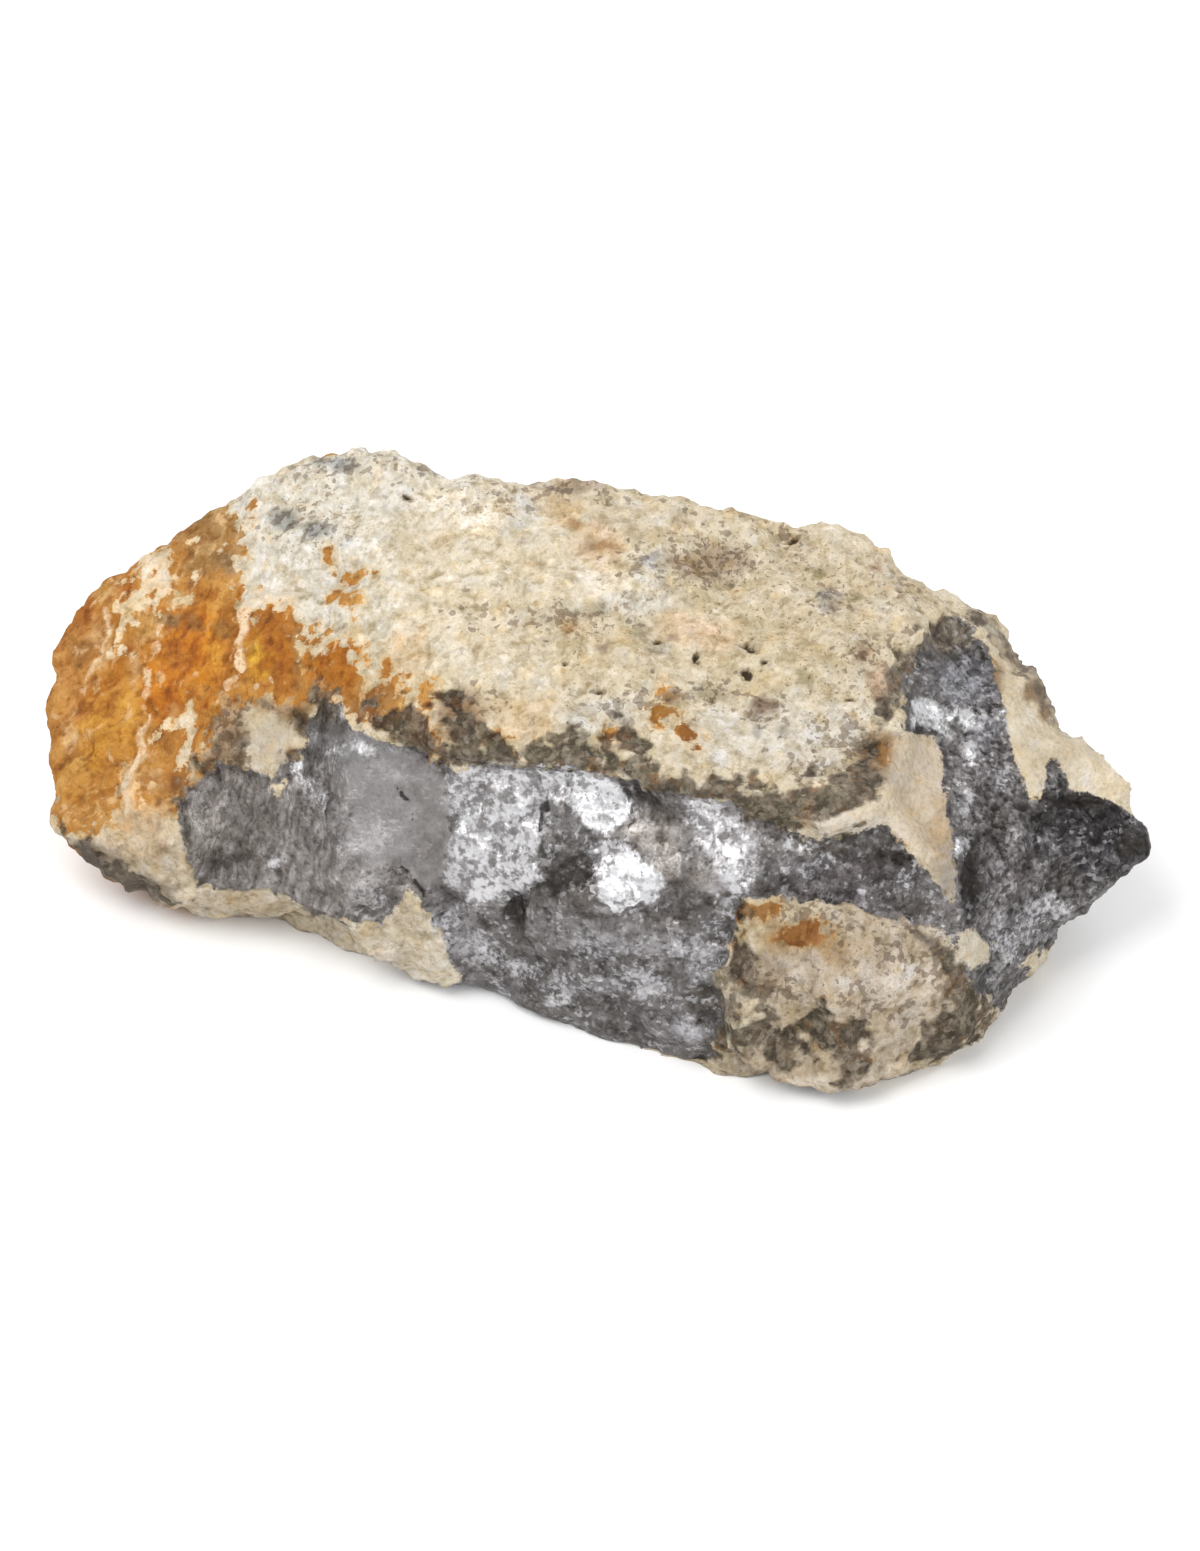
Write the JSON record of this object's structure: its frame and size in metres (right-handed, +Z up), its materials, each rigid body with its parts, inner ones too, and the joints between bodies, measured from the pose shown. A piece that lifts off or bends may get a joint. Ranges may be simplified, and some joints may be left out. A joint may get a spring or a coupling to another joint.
{
  "type": "skutterudite ore specimen",
  "caption": "Rough natural lump of grey metallic ore in pale granular vein rock with an iron-stained end, resting on a flat foot.",
  "frame": {"origin": "middle of the lump's box, at the height of the flat foot it rests on", "axes": "+X along the lump's length towards its pointed ore end, +Z up, the show side faces -Y and up"},
  "size_m": [0.0806, 0.039, 0.0253],
  "materials": {
    "vein_rock_and_ore": "matte"
  },
  "bodies": {
    "root": {"skutterudite_specimen": "vein_rock_and_ore"}
  },
  "joints": []
}
